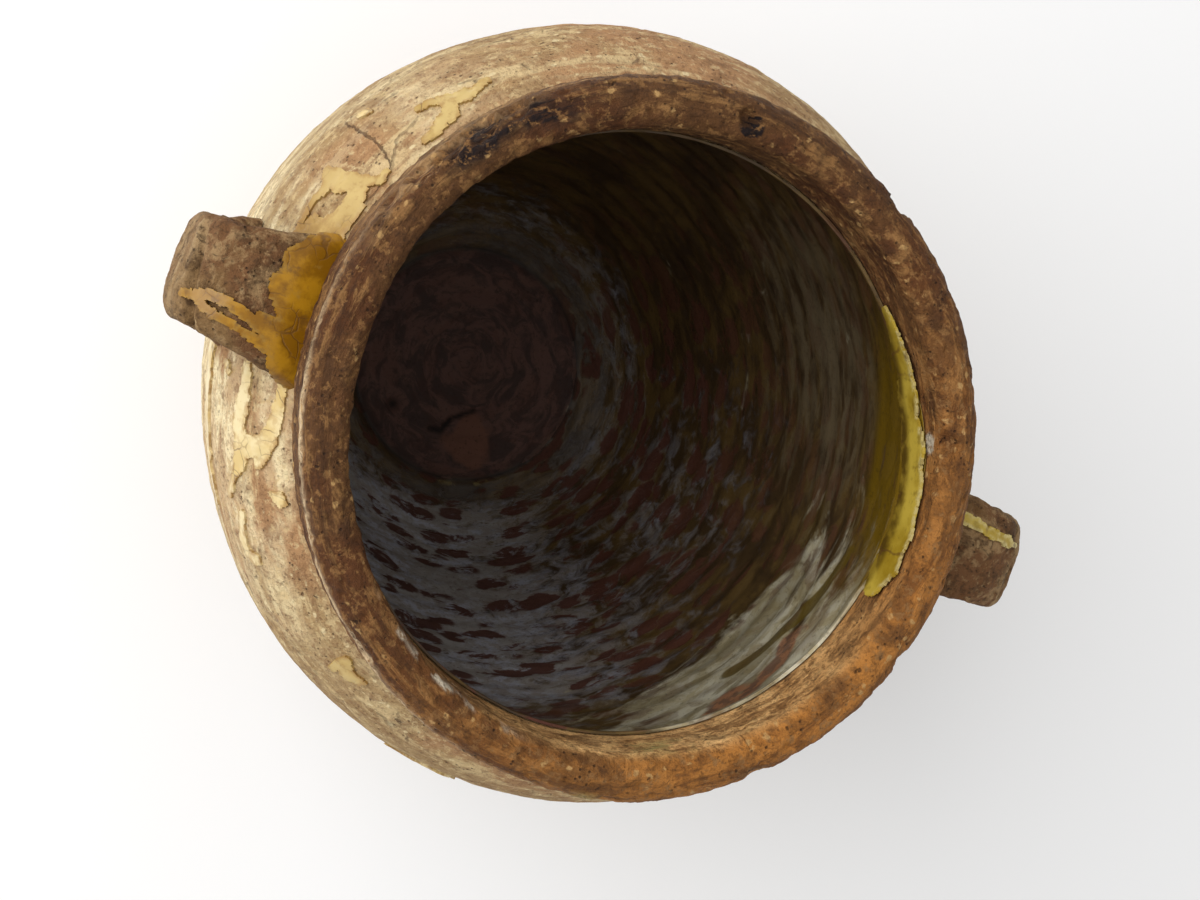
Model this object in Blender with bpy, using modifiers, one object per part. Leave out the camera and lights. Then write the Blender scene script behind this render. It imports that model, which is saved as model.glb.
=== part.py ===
"""Confit pot: a thrown earthenware jar with a rim band, two strap handles and the remains of its glaze."""

import math

import bmesh
import bpy
from mathutils import Vector

# Thrown body, in metres
POT_HEIGHT = 0.275          # standing surface to the top of the rim
FOOT_RADIUS = 0.072
BELLY_RADIUS = 0.124
NECK_RADIUS = 0.1025        # outside of the wall where the rim sits on it
SHOULDER_HEIGHT = 0.054     # from the widest part of the belly up to the rim's seat
WALL = 0.008
FLOOR = 0.012
FLOOR_CORNER = 0.026        # height of the round between the floor and the wall, inside
FOOT_EDGE = 0.003           # worn round along the edge of the foot
LOWER_CURVE = 2.2           # how sharply the wall draws in below the belly
SHOULDER_CURVE = 2.7        # how sharply it draws in above
OUT_OF_ROUND = 0.018        # share by which the damp pot was squeezed out of round
LONG_AXIS = math.radians(128.0)

# Rim band, pressed over a tongue that stands on the wall
RIM_HEIGHT = 0.026
RIM_OVERHANG = 0.0025       # how far the rim stands out past the wall that it sits on
RIM_WIDTH = 0.014
RIM_OUTER_ROUND = 0.007
RIM_INNER_ROUND = 0.006
RIM_LOWER_ROUND = 0.004
TONGUE_WIDTH = 0.005
TONGUE_HEIGHT = 0.007

# Strap handles
HANDLE_PROJECTION = 0.020   # how far a strap stands out past the belly
HANDLE_DROP = 0.002         # from the rim's seat down to the top of the strap
HANDLE_HEIGHT = 0.047       # top of the upper root down to the underside of the lower one
HANDLE_RISE = 0.028         # lift of the strap's line on its way out, which makes its top level
HANDLE_OFFSET = 0.0025      # both straps were set a little to one side of the axis
STRAP_WIDTH = 0.030         # at the outer bend
STRAP_THICKNESS = 0.010
UPPER_ROOT_WIDTH = 0.038
LOWER_ROOT_WIDTH = 0.046
ROOT_THICKNESS = 0.014
ROOT_DEPTH = 0.014          # how far a strap runs on into the wall before it is trimmed
STRAP_SQUARENESS = 3.6      # exponent of the rounded section
FLARE = 2.6                 # how late a strap widens towards its roots

# Glaze and joints
GLAZE = 0.0009
LUTE_GAP = 0.0003           # left between pieces that meet
GLAZE_MARGIN = 0.002        # bare clay between an island of glaze and the edge of a handle root

# Islands of glaze: sizes along the surface, and lobes of the outline as (count, depth, phase)
LIP_ISLAND_DOWN = 0.013     # middle of the crescent, down from the crown of the rim
LIP_ISLAND_HALF = 0.0055
LIP_ISLAND_MIDDLE = math.radians(16.0)
LIP_ISLAND_ARC = math.radians(29.0)
SHOULDER_ISLAND_DROP = 0.011
SHOULDER_ISLAND_HALF = 0.009
SHOULDER_ISLAND_ARC = math.radians(7.0)
BACK_ISLAND_DROP = 0.0095
BACK_ISLAND_HALF = 0.007
BACK_ISLAND_MIDDLE = math.radians(139.0)
BACK_ISLAND_ARC = math.radians(6.0)
FLANK_ISLAND_DROP = 0.013
FLANK_ISLAND_HALF = 0.009
FLANK_ISLAND_ARC = math.radians(8.0)
FRONT_ISLAND_DROP = 0.010
FRONT_ISLAND_HALF = 0.004
FRONT_ISLAND_MIDDLE = math.radians(-121.0)
FRONT_ISLAND_ARC = math.radians(3.5)
STRAP_ISLAND_MIDDLE = 0.28  # share of the strap's line
STRAP_ISLAND_LENGTH = 0.11
STRAP_ISLAND_ACROSS = 0.006
STRAP_ISLAND_HALF = 0.004
WAVY = ((2, 0.10, 0.6), (3, 0.14, 1.9), (5, 0.10, 0.4))
FORKED = ((2, 0.12, 0.8), (3, 0.36, -0.6))
CRESCENT = ((2, 0.06, 0.0), (5, 0.08, 1.1))

# Fineness of the curved faces
TURN_STEPS = 48
WALL_POINTS = 13
ROUND_POINTS = 4
STRAP_SIDES = 20
STRAP_STATIONS = 18
ISLAND_GRID = 8
WELD = 0.00002

RIM_RADIUS = NECK_RADIUS + RIM_OVERHANG
MOUTH_RADIUS = RIM_RADIUS - RIM_WIDTH
SEAT = POT_HEIGHT - RIM_HEIGHT
BELLY = SEAT - SHOULDER_HEIGHT
HANDLE_TOP = SEAT - HANDLE_DROP
HANDLE_REACH = BELLY_RADIUS + HANDLE_PROJECTION

# Colours are linear, and the rest are roughnesses
BUFF_CLAY = (0.42, 0.24, 0.10)
BROWN_CLAY = (0.27, 0.11, 0.04)
STRAP_CLAY = (0.24, 0.12, 0.05)
YELLOW_GLAZE = (0.62, 0.43, 0.13)
OLIVE_GLAZE = (0.13, 0.09, 0.03)
MATT = 0.85
WORN = 0.75
SATIN = 0.35
GLOSSY = 0.3


def clear_scene():
    for obj in list(bpy.data.objects):
        bpy.data.objects.remove(obj, do_unlink=True)


def make_collection(name):
    collection = bpy.data.collections.new(name)
    bpy.context.scene.collection.children.link(collection)
    return collection


def make_material(name, colour, roughness):
    material = bpy.data.materials.new(name)
    material.use_nodes = True
    shader = material.node_tree.nodes["Principled BSDF"]
    shader.inputs["Base Color"].default_value = (*colour, 1.0)
    shader.inputs["Roughness"].default_value = roughness
    shader.inputs["Metallic"].default_value = 0.0
    return material


def wall_radius(z):
    """Outside radius of the thrown wall at a height."""
    if z < BELLY:
        drawn_in = ((BELLY - z) / BELLY) ** LOWER_CURVE
        return BELLY_RADIUS - (BELLY_RADIUS - FOOT_RADIUS) * drawn_in
    drawn_in = ((z - BELLY) / SHOULDER_HEIGHT) ** SHOULDER_CURVE
    return BELLY_RADIUS - (BELLY_RADIUS - NECK_RADIUS) * drawn_in


def wall_slope(z):
    """Change of the outside radius with height."""
    if z < BELLY:
        rate = LOWER_CURVE * ((BELLY - z) / BELLY) ** (LOWER_CURVE - 1.0)
        return (BELLY_RADIUS - FOOT_RADIUS) / BELLY * rate
    rate = SHOULDER_CURVE * ((z - BELLY) / SHOULDER_HEIGHT) ** (SHOULDER_CURVE - 1.0)
    return -(BELLY_RADIUS - NECK_RADIUS) / SHOULDER_HEIGHT * rate


def shell_radius(z, depth):
    """Radius of a surface that lies a depth inside the wall, measured square to it."""
    return wall_radius(z) - depth * math.hypot(1.0, wall_slope(z))


def heights(low, high, count):
    return [low + (high - low) * i / (count - 1) for i in range(count)]


def arc(centre_r, centre_z, radius, start, end):
    """Points of a round in the profile plane, angles in degrees."""
    points = []
    for angle in heights(math.radians(start), math.radians(end), ROUND_POINTS + 1):
        points.append((centre_r + radius * math.cos(angle), centre_z + radius * math.sin(angle)))
    return points


def inside_profile(clearance):
    """Profile of the inside from the middle of the floor up to the rim's seat, drawn in by a clearance."""
    depth = WALL + clearance
    floor = FLOOR + clearance
    corner_top = FLOOR + FLOOR_CORNER
    wall_start = shell_radius(corner_top, depth)
    turn = wall_start - wall_slope(corner_top) * (corner_top - floor)
    floor_edge = turn - FLOOR_CORNER
    points = [(0.0, floor)]
    for t in heights(0.0, 1.0, ROUND_POINTS + 2):
        radius = floor_edge * (1 - t) ** 2 + turn * 2 * t * (1 - t) + wall_start * t ** 2
        z = floor * (1 - t * t) + corner_top * t ** 2
        points.append((radius, z))
    for z in heights(corner_top, SEAT, WALL_POINTS)[1:]:
        points.append((shell_radius(z, depth), z))
    return points


def outside_profile(clearance):
    """Profile of the outside from the rim's seat down to the foot, grown by a clearance."""
    points = []
    for z in heights(SEAT, FOOT_EDGE, WALL_POINTS + 2):
        points.append((shell_radius(z, -clearance), z))
    return points


def tongue_radii():
    """Inner and outer radius of the tongue in the middle of the wall's edge."""
    middle = (shell_radius(SEAT, WALL) + NECK_RADIUS) / 2
    return middle - TONGUE_WIDTH / 2, middle + TONGUE_WIDTH / 2


def body_profile():
    inner, outer = tongue_radii()
    tongue_top = SEAT + TONGUE_HEIGHT
    points = inside_profile(0.0)
    points += [(inner, SEAT), (inner, tongue_top), (outer, tongue_top), (outer, SEAT)]
    points += outside_profile(0.0)
    points += [(FOOT_RADIUS - FOOT_EDGE, 0.0), (0.0, 0.0)]
    return points


def cutter_profile():
    """The outside of the rim and the body grown by the luting gap, closed over its top and bottom."""
    outside = outside_profile(LUTE_GAP)
    lower_round = arc(RIM_RADIUS - RIM_LOWER_ROUND, SEAT + LUTE_GAP + RIM_LOWER_ROUND,
                      RIM_LOWER_ROUND + LUTE_GAP, 0.0, -90.0)
    lower_round = [point for point in lower_round if point[0] > outside[0][0]]
    top = [(0.0, POT_HEIGHT), (RIM_RADIUS + LUTE_GAP, POT_HEIGHT)]
    return top + lower_round + outside + [(0.0, outside[-1][1])]


def lip_profile(clearance):
    """The band's inner face from the crown down to its underside, drawn in by a clearance."""
    round_radius = RIM_INNER_ROUND + clearance
    crown = arc(MOUTH_RADIUS + RIM_INNER_ROUND, POT_HEIGHT - RIM_INNER_ROUND, round_radius, 90.0, 180.0)
    return crown + [(MOUTH_RADIUS - clearance, SEAT + LUTE_GAP)]


def rim_profile():
    """Closed section of the band, with the groove that straddles the tongue."""
    inner, outer = tongue_radii()
    underside = SEAT + LUTE_GAP
    groove_top = SEAT + TONGUE_HEIGHT + LUTE_GAP
    points = arc(RIM_RADIUS - RIM_OUTER_ROUND, POT_HEIGHT - RIM_OUTER_ROUND, RIM_OUTER_ROUND, 90.0, 0.0)
    points += arc(RIM_RADIUS - RIM_LOWER_ROUND, underside + RIM_LOWER_ROUND, RIM_LOWER_ROUND, 0.0, -90.0)
    points += [(outer + LUTE_GAP, underside), (outer + LUTE_GAP, groove_top)]
    points += [(inner - LUTE_GAP, groove_top), (inner - LUTE_GAP, underside)]
    points += reversed(lip_profile(0.0))
    return points


def add_object(name, mesh, collection, material):
    obj = bpy.data.objects.new(name, mesh)
    collection.objects.link(obj)
    if material:
        mesh.materials.append(material)
    return obj


def turned(name, profile, collection, material, closed=False):
    """A profile turned about the pot's axis."""
    edges = [(i, i + 1) for i in range(len(profile) - 1)]
    if closed:
        edges.append((len(profile) - 1, 0))
    mesh = bpy.data.meshes.new(name)
    mesh.from_pydata([(radius, 0.0, z) for radius, z in profile], edges, [])
    obj = add_object(name, mesh, collection, material)
    screw = obj.modifiers.new("Turn", "SCREW")
    screw.axis = "Z"
    screw.angle = math.tau
    screw.steps = TURN_STEPS
    screw.render_steps = TURN_STEPS
    screw.use_merge_vertices = True
    screw.merge_threshold = WELD
    screw.use_smooth_shade = True
    return obj


def thicken(obj, thickness):
    """Give an open surface its thickness on the side that its faces point to."""
    solidify = obj.modifiers.new("Coat", "SOLIDIFY")
    solidify.thickness = thickness
    solidify.offset = 1.0
    solidify.use_even_offset = True
    return obj


def root_point(z, depth):
    """A point in the profile plane that lies inside the wall at a height."""
    return Vector((wall_radius(z) - depth, z))


def strap_line():
    """Four control points of the strap's middle line: under the rim, out, down and back to the belly."""
    upper = HANDLE_TOP - ROOT_THICKNESS / 2
    lower = HANDLE_TOP - HANDLE_HEIGHT + ROOT_THICKNESS / 2
    start = root_point(upper, ROOT_DEPTH)
    finish = root_point(lower, ROOT_DEPTH)
    outermost = HANDLE_REACH - STRAP_THICKNESS / 2
    # A cubic whose middle controls share one radius reaches three quarters of the way out to it
    pull = (outermost - (start.x + finish.x) / 8) * 4 / 3
    return start, Vector((pull, upper + HANDLE_RISE)), Vector((pull, lower)), finish


def strap_frame(along):
    """Point and outward normal of the strap's middle line, in the profile plane."""
    p0, p1, p2, p3 = strap_line()
    back = 1.0 - along
    point = p0 * back ** 3 + p1 * 3 * back ** 2 * along + p2 * 3 * back * along ** 2 + p3 * along ** 3
    tangent = (p1 - p0) * back ** 2 + (p2 - p1) * 2 * back * along + (p3 - p2) * along ** 2
    tangent.normalize()
    return point, Vector((-tangent.y, tangent.x))


def strap_size(along):
    """Width and thickness of the strap, which flares towards both roots."""
    flare = abs(2.0 * along - 1.0) ** FLARE
    root_width = UPPER_ROOT_WIDTH if along < 0.5 else LOWER_ROOT_WIDTH
    width = STRAP_WIDTH + (root_width - STRAP_WIDTH) * flare
    return width, STRAP_THICKNESS + (ROOT_THICKNESS - STRAP_THICKNESS) * flare


def strap_place(along, across, above, side):
    """World point at a distance across the strap and above its middle line."""
    point, normal = strap_frame(along)
    place = point + normal * above
    return Vector((side * place.x, side * across + HANDLE_OFFSET, place.y))


def signed_power(value, exponent):
    return math.copysign(abs(value) ** exponent, value)


def strap_handle(name, side, wall_cutter, collection, material):
    """A cylinder cut into stations, wrapped along the strap's line and trimmed to the wall and the rim."""
    bm = bmesh.new()
    bmesh.ops.create_cone(bm, cap_ends=True, segments=STRAP_SIDES, radius1=1.0, radius2=1.0, depth=1.0)
    for station in range(1, STRAP_STATIONS):
        level = station / STRAP_STATIONS - 0.5
        geometry = bm.verts[:] + bm.edges[:] + bm.faces[:]
        bmesh.ops.bisect_plane(bm, geom=geometry, dist=WELD, plane_co=(0.0, 0.0, level), plane_no=(0.0, 0.0, 1.0))
    for vert in bm.verts:
        along = vert.co.z + 0.5
        width, thickness = strap_size(along)
        across = width / 2 * signed_power(vert.co.y, 2.0 / STRAP_SQUARENESS)
        above = thickness / 2 * signed_power(vert.co.x, 2.0 / STRAP_SQUARENESS)
        vert.co = strap_place(along, across, above, side)
    bmesh.ops.recalc_face_normals(bm, faces=bm.faces)
    mesh = bpy.data.meshes.new(name)
    bm.to_mesh(mesh)
    bm.free()
    mesh.shade_smooth()
    obj = add_object(name, mesh, collection, material)
    trim = obj.modifiers.new("Trim to wall", "BOOLEAN")
    trim.operation = "DIFFERENCE"
    trim.object = wall_cutter
    return obj


def wall_surface(azimuth, z):
    """Point just off the outside of the wall."""
    radius = shell_radius(z, -LUTE_GAP)
    return Vector((radius * math.cos(azimuth), radius * math.sin(azimuth), z))


def lip_surface(azimuth, down):
    """Point just off the band's inner face, at a distance down from its crown."""
    profile = lip_profile(LUTE_GAP)
    left = down
    for (r0, z0), (r1, z1) in zip(profile, profile[1:]):
        length = math.hypot(r1 - r0, z1 - z0)
        if left <= length:
            break
        left -= length
    share = left / length
    radius = r0 + (r1 - r0) * share
    return Vector((radius * math.cos(azimuth), radius * math.sin(azimuth), z0 + (z1 - z0) * share))


def strap_surface(side):
    """A function for the points just off the upper face of a strap."""
    def surface(along, across):
        width, thickness = strap_size(along)
        reach = min(abs(2.0 * across / width), 1.0)
        above = thickness / 2 * (1.0 - reach ** STRAP_SQUARENESS) ** (1.0 / STRAP_SQUARENESS)
        return strap_place(along, across, above + LUTE_GAP, side)
    return surface


def glaze_island(name, surface, centre, half, lobes, collection, material):
    """A patch of glaze with a wavy outline; each lobe is a count, a depth and a phase."""
    bm = bmesh.new()
    bmesh.ops.create_grid(bm, x_segments=ISLAND_GRID, y_segments=ISLAND_GRID, size=1.0)
    for vert in bm.verts:
        angle = math.atan2(vert.co.y, vert.co.x)
        reach = max(abs(vert.co.x), abs(vert.co.y))
        for count, depth, phase in lobes:
            reach *= 1.0 + depth * math.cos(count * angle + phase)
        vert.co = surface(centre[0] + half[0] * reach * math.cos(angle),
                          centre[1] + half[1] * reach * math.sin(angle))
    mesh = bpy.data.meshes.new(name)
    bm.to_mesh(mesh)
    bm.free()
    mesh.shade_smooth()
    return thicken(add_object(name, mesh, collection, material), GLAZE)


def root_edge_angle():
    """Azimuth from the middle of a handle to where an island of glaze may begin."""
    return (UPPER_ROOT_WIDTH / 2 + HANDLE_OFFSET + GLAZE_MARGIN) / NECK_RADIUS


def squeeze_out_of_round(*collections):
    """Hang every piece on an empty that squeezes the pot along one diameter."""
    squeeze = bpy.data.objects.new("squeeze", None)
    squeeze.rotation_euler.z = LONG_AXIS
    squeeze.scale = (1.0 + OUT_OF_ROUND, 1.0 - OUT_OF_ROUND, 1.0)
    for collection in collections:
        for obj in collection.objects:
            obj.parent = squeeze
            obj.rotation_euler.z = -LONG_AXIS
    collections[0].objects.link(squeeze)


def build():
    clear_scene()
    pot = make_collection("confit_pot")
    cutters = make_collection("cutters")
    buff = make_material("buff_clay", BUFF_CLAY, MATT)
    brown = make_material("brown_clay", BROWN_CLAY, WORN)
    strap = make_material("strap_clay", STRAP_CLAY, MATT)
    olive = make_material("olive_glaze", OLIVE_GLAZE, GLOSSY)
    yellow = make_material("yellow_glaze", YELLOW_GLAZE, SATIN)

    turned("pot_body", body_profile(), pot, buff)
    turned("rim_band", rim_profile(), pot, brown, closed=True)
    thicken(turned("inside_glaze", inside_profile(LUTE_GAP), pot, olive), GLAZE)

    wall_cutter = turned("wall_cutter", cutter_profile(), cutters, None)
    wall_cutter.hide_render = True
    wall_cutter.display_type = "WIRE"
    strap_handle("handle_left", -1.0, wall_cutter, pot, strap)
    strap_handle("handle_right", 1.0, wall_cutter, pot, strap)

    def island(name, surface, centre, half, lobes):
        glaze_island(name, surface, centre, half, lobes, pot, yellow)

    island("lip_glaze", lip_surface, (LIP_ISLAND_MIDDLE, LIP_ISLAND_DOWN),
           (LIP_ISLAND_ARC, LIP_ISLAND_HALF), CRESCENT)
    beside_root = math.pi - root_edge_angle()
    island("glaze_shoulder_left", wall_surface,
           (beside_root - SHOULDER_ISLAND_ARC, SEAT - SHOULDER_ISLAND_DROP),
           (SHOULDER_ISLAND_ARC, SHOULDER_ISLAND_HALF), WAVY)
    island("glaze_flank_left", wall_surface,
           (FLANK_ISLAND_ARC - beside_root, SEAT - FLANK_ISLAND_DROP),
           (FLANK_ISLAND_ARC, FLANK_ISLAND_HALF), WAVY)
    island("glaze_shoulder_back", wall_surface, (BACK_ISLAND_MIDDLE, SEAT - BACK_ISLAND_DROP),
           (BACK_ISLAND_ARC, BACK_ISLAND_HALF), FORKED)
    island("glaze_flank_front", wall_surface, (FRONT_ISLAND_MIDDLE, SEAT - FRONT_ISLAND_DROP),
           (FRONT_ISLAND_ARC, FRONT_ISLAND_HALF), WAVY)
    for name, side in (("glaze_handle_left", -1.0), ("glaze_handle_right", 1.0)):
        island(name, strap_surface(side), (STRAP_ISLAND_MIDDLE, STRAP_ISLAND_ACROSS),
               (STRAP_ISLAND_LENGTH, STRAP_ISLAND_HALF), CRESCENT)
    squeeze_out_of_round(pot, cutters)


build()
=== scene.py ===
import math
import random

import bmesh
import bpy
from mathutils import Matrix, Vector, noise


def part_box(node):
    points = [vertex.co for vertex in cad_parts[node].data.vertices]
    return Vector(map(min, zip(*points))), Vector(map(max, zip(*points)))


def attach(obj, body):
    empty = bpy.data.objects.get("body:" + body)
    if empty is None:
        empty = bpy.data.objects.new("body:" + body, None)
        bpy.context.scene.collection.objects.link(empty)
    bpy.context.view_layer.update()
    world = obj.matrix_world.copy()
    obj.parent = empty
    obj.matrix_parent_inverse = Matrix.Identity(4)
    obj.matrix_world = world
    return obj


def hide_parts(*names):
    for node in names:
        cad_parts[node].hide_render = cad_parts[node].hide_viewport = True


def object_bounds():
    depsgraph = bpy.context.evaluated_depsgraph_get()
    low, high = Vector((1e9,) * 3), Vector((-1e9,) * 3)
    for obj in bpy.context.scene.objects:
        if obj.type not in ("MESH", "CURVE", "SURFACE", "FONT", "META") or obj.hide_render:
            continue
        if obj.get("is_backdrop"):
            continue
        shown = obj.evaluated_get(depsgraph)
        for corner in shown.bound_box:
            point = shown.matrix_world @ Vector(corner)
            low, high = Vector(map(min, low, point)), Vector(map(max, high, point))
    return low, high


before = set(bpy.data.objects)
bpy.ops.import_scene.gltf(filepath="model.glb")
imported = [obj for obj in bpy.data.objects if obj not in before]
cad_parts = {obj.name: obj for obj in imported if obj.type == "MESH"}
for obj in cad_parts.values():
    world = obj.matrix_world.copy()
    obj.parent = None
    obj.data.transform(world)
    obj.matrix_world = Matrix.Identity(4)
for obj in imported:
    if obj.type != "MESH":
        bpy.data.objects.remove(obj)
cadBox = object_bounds()
print("frame loaded")

# shape of the pot in metres, shared by every piece
rimLow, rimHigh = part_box("rim_band")
pot = {
    "top": rimHigh.z,
    "seat": rimLow.z - 0.0003,
    "belly": 0.195,
    "footRadius": 0.072,
    "bellyRadius": 0.124,
    "neckRadius": 0.1025,
    "wall": 0.008,
    "floor": 0.012,
    "disc": 0.045,
    "corner": 0.038,
    "lowerCurve": 2.2,
    "shoulderCurve": 2.7,
    "squeeze": 0.018,
    "longAxis": math.radians(128),
}
turn = Matrix.Rotation(pot["longAxis"], 4, "Z")
squeezeMatrix = turn @ Matrix.Diagonal((1 + pot["squeeze"], 1 - pot["squeeze"], 1, 1)) @ turn.inverted()


def wallRadius(z):
    if z < pot["belly"]:
        drop = (pot["belly"] - z) / pot["belly"]
        return pot["bellyRadius"] - (pot["bellyRadius"] - pot["footRadius"]) * drop ** pot["lowerCurve"]
    rise = (z - pot["belly"]) / (pot["seat"] - pot["belly"])
    return pot["bellyRadius"] - (pot["bellyRadius"] - pot["neckRadius"]) * rise ** pot["shoulderCurve"]


def wallSlope(z):
    step = 0.0001
    return (wallRadius(z + step) - wallRadius(z - step)) / (2 * step)


def insideRadius(z, depth):
    return wallRadius(z) - depth * math.hypot(1, wallSlope(z))


def cornerCurve(depth, floor, count):
    # round between the floor's disc and the inside of the wall
    top = (insideRadius(pot["corner"], depth), pot["corner"])
    mid = (top[0] - wallSlope(pot["corner"]) * (top[1] - floor), floor)
    start = (pot["disc"], floor)
    points = []
    for t in between(0, 1, count)[1:-1]:
        points.append(tuple(start[i] * (1 - t) ** 2 + mid[i] * 2 * t * (1 - t) + top[i] * t * t for i in (0, 1)))
    return points


def smooth(low, high, value):
    share = min(1, max(0, (value - low) / (high - low)))
    return share * share * (3 - 2 * share)


def bump(value, middle, half):
    return 1 - smooth(0, half, abs(value - middle))


def azimuth(point):
    return math.degrees(math.atan2(point.y, point.x)) % 360


def turned(a, b):
    # smallest difference between two azimuths
    return abs((a - b + 180) % 360 - 180)


def toward(point, side, half):
    # 1 at one azimuth, falling to 0 at both sides of it
    return bump(turned(azimuth(point), side), 0, half)


def fromAxis(point):
    return math.hypot(point.x, point.y)


def ringPoint(angle, radius, z):
    t = math.radians(angle)
    return Vector((radius * math.cos(t), radius * math.sin(t), z))


def tatter(point, octaves=3):
    return noise.fractal(point, 0.9, 2, octaves)


def pits(point, size, share):
    # depth 0 to 1 of scattered round pits
    far, near = noise.voronoi(point / size)
    keep = noise.cell(near[0] * 7.3) < share
    return (1 - smooth(0.1, 0.42, far[0])) if keep else 0


# modelling helpers
def startClear():
    bpy.ops.object.select_all(action="DESELECT")


def switch(mode):
    bpy.ops.object.mode_set(mode=mode)


def choose(obj):
    startClear()
    obj.select_set(True)
    bpy.context.view_layer.objects.active = obj


def lathe(name, profile, steps):
    # one vertex drawn out along the profile, then turned about Z
    startClear()
    bpy.ops.mesh.primitive_plane_add(size=0.01)
    obj = bpy.context.object
    obj.name = obj.data.name = name
    switch("EDIT")
    bpy.ops.mesh.merge(type="CENTER")
    bpy.ops.transform.translate(value=(profile[0][0], 0, profile[0][1]))
    for a, b in zip(profile, profile[1:]):
        bpy.ops.mesh.extrude_vertices_move(TRANSFORM_OT_translate={"value": (b[0] - a[0], 0, b[1] - a[1])})
    switch("OBJECT")
    screw = obj.modifiers.new("screw", "SCREW")
    screw.steps = screw.render_steps = steps
    screw.use_merge_vertices = True
    screw.merge_threshold = 0.00002
    bpy.ops.object.modifier_apply(modifier="screw")
    switch("EDIT")
    bpy.ops.mesh.select_all(action="SELECT")
    bpy.ops.mesh.remove_doubles(threshold=0.00002)
    bpy.ops.mesh.normals_make_consistent(inside=False)
    switch("OBJECT")
    bpy.ops.object.shade_smooth()
    return obj


def roughen(obj, depth):
    # moves each vertex along its normal
    moved = [v.co + v.normal * depth(v.co) for v in obj.data.vertices]
    for vertex, spot in zip(obj.data.vertices, moved):
        vertex.co = spot
    obj.data.update()


def paint(obj, name, value):
    layer = obj.data.attributes.new(name, "FLOAT", "POINT")
    layer.data.foreach_set("value", [value(v.co) for v in obj.data.vertices])


def between(a, b, count):
    return [a + (b - a) * i / count for i in range(count + 1)]


def arc(x, z, radius, start, stop, count):
    angles = between(math.radians(start), math.radians(stop), count)
    return [(x + radius * math.cos(t), z + radius * math.sin(t)) for t in angles]


def place(obj, nodes, material):
    obj.data.materials.append(material)
    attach(obj, "root")
    if nodes:
        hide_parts(*nodes)


# material helpers
def tone(r, g, b):
    # sRGB 0 to 255 as a linear colour
    shares = [c / 255 for c in (r, g, b)]
    return tuple(c / 12.92 if c < 0.0405 else ((c + 0.055) / 1.055) ** 2.4 for c in shares) + (1,)


class Paint:
    def __init__(self, name):
        self.material = bpy.data.materials.new(name)
        self.material.use_nodes = True
        self.tree = self.material.node_tree
        self.shader = self.tree.nodes["Principled BSDF"]
        self.here = self.add("ShaderNodeTexCoord").outputs["Object"]

    def add(self, kind, inputs=None, **props):
        node = self.tree.nodes.new(kind)
        for key, value in props.items():
            setattr(node, key, value)
        self.feed(node, inputs or {})
        return node

    def feed(self, node, inputs):
        for key, value in inputs.items():
            if isinstance(value, bpy.types.NodeSocket):
                self.tree.links.new(value, node.inputs[key])
            else:
                node.inputs[key].default_value = value

    def stretch(self, scale, shift=(0, 0, 0), vector=None):
        inputs = {"Vector": vector or self.here, "Scale": scale, "Location": shift}
        return self.add("ShaderNodeMapping", inputs).outputs[0]

    def cloud(self, scale, detail=4, rough=0.55, vector=None, bend=0):
        inputs = {"Vector": vector or self.here, "Scale": scale, "Detail": detail, "Roughness": rough}
        inputs["Distortion"] = bend
        return self.add("ShaderNodeTexNoise", inputs).outputs[0]

    def cells(self, scale, vector=None, edges=False):
        feature = "DISTANCE_TO_EDGE" if edges else "F1"
        inputs = {"Vector": vector or self.here, "Scale": scale}
        return self.add("ShaderNodeTexVoronoi", inputs, feature=feature).outputs["Distance"]

    def band(self, value, low, high):
        inputs = {"Value": value, "From Min": low, "From Max": high}
        return self.add("ShaderNodeMapRange", inputs, interpolation_type="SMOOTHSTEP").outputs[0]

    def math(self, operation, a, b=None):
        inputs = {0: a} if b is None else {0: a, 1: b}
        return self.add("ShaderNodeMath", inputs, operation=operation).outputs[0]

    def times(self, a, b):
        return self.math("MULTIPLY", a, b)

    def plus(self, a, b):
        return self.math("ADD", a, b)

    def minus(self, a, b):
        return self.math("SUBTRACT", a, b)

    def larger(self, a, b):
        return self.math("MAXIMUM", a, b)

    def over(self, colour, shade, mask, strength):
        # a second colour laid over the first
        return self.mix(self.times(mask, strength), colour, shade)

    def mix(self, factor, a, b):
        return self.add("ShaderNodeMix", {0: factor, 6: a, 7: b}, data_type="RGBA").outputs[2]

    def layer(self, name):
        return self.add("ShaderNodeAttribute", attribute_name=name).outputs["Fac"]

    def finish(self, colour, roughness, height=None, distance=0.0005, strength=0.6, coat=0, shine=0.5):
        self.feed(self.shader, {"Base Color": colour, "Roughness": roughness, "Specular IOR Level": shine})
        self.feed(self.shader, {"Coat Weight": coat, "Coat Roughness": 0.15})
        if height is not None:
            inputs = {"Height": height, "Distance": distance, "Strength": strength}
            self.feed(self.shader, {"Normal": self.add("ShaderNodeBump", inputs).outputs[0]})
        return self.material


# fired clay, used in several mixes
def drawnOut(p, look, tall):
    # coordinates drawn out round the pot
    if not look["across"]:
        return p.stretch((1, 1, tall), look["shift"])
    parts = p.add("ShaderNodeSeparateXYZ", {0: p.here})
    inputs = {0: parts.outputs[0], 1: parts.outputs[1], 2: p.times(p.layer("across"), tall)}
    return p.add("ShaderNodeCombineXYZ", inputs).outputs[0]


def wandering(p, vector, scale, far):
    # the same coordinates, pushed about by noise
    push = p.add("ShaderNodeTexNoise", {"Scale": scale, "Detail": 4, "Vector": vector}).outputs[1]
    inputs = {0: vector, 1: p.stretch((far, far, far), (0, 0, 0), push)}
    return p.add("ShaderNodeVectorMath", inputs, operation="ADD").outputs[0]


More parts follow.
